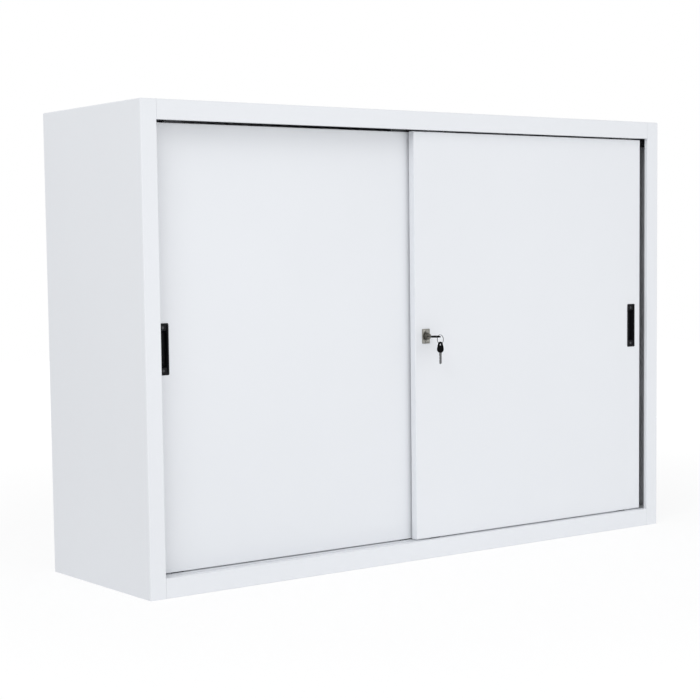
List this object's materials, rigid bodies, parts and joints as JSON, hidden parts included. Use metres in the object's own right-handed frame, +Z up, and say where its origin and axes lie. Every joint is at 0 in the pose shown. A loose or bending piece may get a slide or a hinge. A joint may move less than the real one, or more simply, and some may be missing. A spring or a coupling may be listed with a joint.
{
  "type": "sliding door cabinet",
  "caption": "Low wide sheet-steel office cabinet with two overlapping sliding doors on hanging rollers, flush black pulls, inner shelves and a cam lock with a key on a ring.",
  "frame": {"origin": "centre of the carcass's footprint, on the ground, under the middle of the centre cross member", "axes": "+X to the right as a person facing the doors sees it, +Y to the back, +Z up; the doors face -Y"},
  "size_m": [1.5, 0.4688, 1.016],
  "materials": {
    "carcass_white": "fine matt powder coat",
    "door_white": "fine matt powder coat",
    "zinc_plated": "bright zinc",
    "black_zinc": "black passivated zinc",
    "nickel": "satin nickel",
    "key_steel": "dull nickelled",
    "black_plastic": "satin moulded",
    "black_rubber": "matt",
    "white_nylon": "moulded"
  },
  "bodies": {
    "carcass": {"left_side_panel": "carcass_white", "right_side_panel": "carcass_white", "top_panel": "carcass_white", "bottom_panel": "carcass_white", "back_panel": "carcass_white", "centre_partition": "carcass_white", "floor_cross_members": "zinc_plated", "shelf_uprights": "carcass_white", "shelf_clips": "zinc_plated", "shelf_left_lower": "carcass_white", "shelf_left_upper": "carcass_white", "shelf_right_lower": "carcass_white", "shelf_right_upper": "carcass_white", "top_track": "zinc_plated", "bottom_track": "carcass_white", "door_buffers": "black_rubber", "carcass_screws": "zinc_plated", "back_panel_screws": "zinc_plated"},
    "front_door": {"front_door_panel": "door_white", "front_door_stiffener": "door_white", "front_door_hangers": "black_zinc", "front_hanger_bolts": "zinc_plated", "front_door_axles": "zinc_plated", "front_door_guides": "black_plastic", "front_door_pull": "black_plastic", "lock_plate": "nickel", "lock_screws": "nickel", "lock_barrel": "nickel", "lock_nut": "zinc_plated"},
    "rear_door": {"rear_door_panel": "door_white", "rear_door_stiffener": "door_white", "rear_door_hangers": "black_zinc", "rear_hanger_bolts": "zinc_plated", "rear_door_axles": "zinc_plated", "rear_door_guides": "black_plastic", "rear_door_pull": "black_plastic", "lock_keeper": "zinc_plated", "keeper_rivets": "zinc_plated"},
    "front_roller_left": {"front_roller_left": "white_nylon"},
    "front_roller_right": {"front_roller_right": "white_nylon"},
    "rear_roller_left": {"rear_roller_left": "white_nylon"},
    "rear_roller_right": {"rear_roller_right": "white_nylon"},
    "lock_core": {"lock_plug": "nickel", "lock_cam": "zinc_plated", "lock_cam_screw": "zinc_plated", "key_blade": "key_steel", "key_head": "black_plastic"},
    "key_ring": {"key_ring": "key_steel"},
    "spare_key": {"spare_key_head": "black_plastic", "spare_key_blade": "key_steel"}
  },
  "joints": [
    {"name": "front_door_slide", "type": "slide", "parent": "carcass", "child": "front_door", "axis": [1, 0, 0], "range_m": [-0.683, 0.017]},
    {"name": "rear_door_slide", "type": "slide", "parent": "carcass", "child": "rear_door", "axis": [1, 0, 0], "range_m": [0, 0.7]},
    {"name": "front_roller_left_spin", "type": "hinge", "parent": "front_door", "child": "front_roller_left", "pos_m": [0.036, -0.1845, 0.994], "axis": [0, 1, 0], "continuous": true},
    {"name": "front_roller_right_spin", "type": "hinge", "parent": "front_door", "child": "front_roller_right", "pos_m": [0.63, -0.1845, 0.994], "axis": [0, 1, 0], "continuous": true},
    {"name": "rear_roller_left_spin", "type": "hinge", "parent": "rear_door", "child": "rear_roller_left", "pos_m": [-0.647, -0.1605, 0.994], "axis": [0, 1, 0], "continuous": true},
    {"name": "rear_roller_right_spin", "type": "hinge", "parent": "rear_door", "child": "rear_roller_right", "pos_m": [-0.053, -0.1605, 0.994], "axis": [0, 1, 0], "continuous": true},
    {"name": "key_turn", "type": "hinge", "parent": "front_door", "child": "lock_core", "pos_m": [-0.003, -0.196, 0.51], "axis": [0, 1, 0], "range_deg": [0, 90]},
    {"name": "ring_swing", "type": "hinge", "parent": "lock_core", "child": "key_ring", "pos_m": [-0.003, -0.2382, 0.51], "axis": [1, 0, 0], "range_deg": [-55, 0]},
    {"name": "spare_key_swing", "type": "hinge", "parent": "key_ring", "child": "spare_key", "pos_m": [-0.003, -0.24672, 0.4942], "axis": [0, 1, 0], "range_deg": [-60, 60]}
  ],
  "couplings": [
    {"joint": "front_roller_left_spin", "follows": "front_door_slide", "rad_per_m": 90.909},
    {"joint": "front_roller_right_spin", "follows": "front_door_slide", "rad_per_m": 90.909},
    {"joint": "rear_roller_left_spin", "follows": "rear_door_slide", "rad_per_m": 90.909},
    {"joint": "rear_roller_right_spin", "follows": "rear_door_slide", "rad_per_m": 90.909}
  ]
}
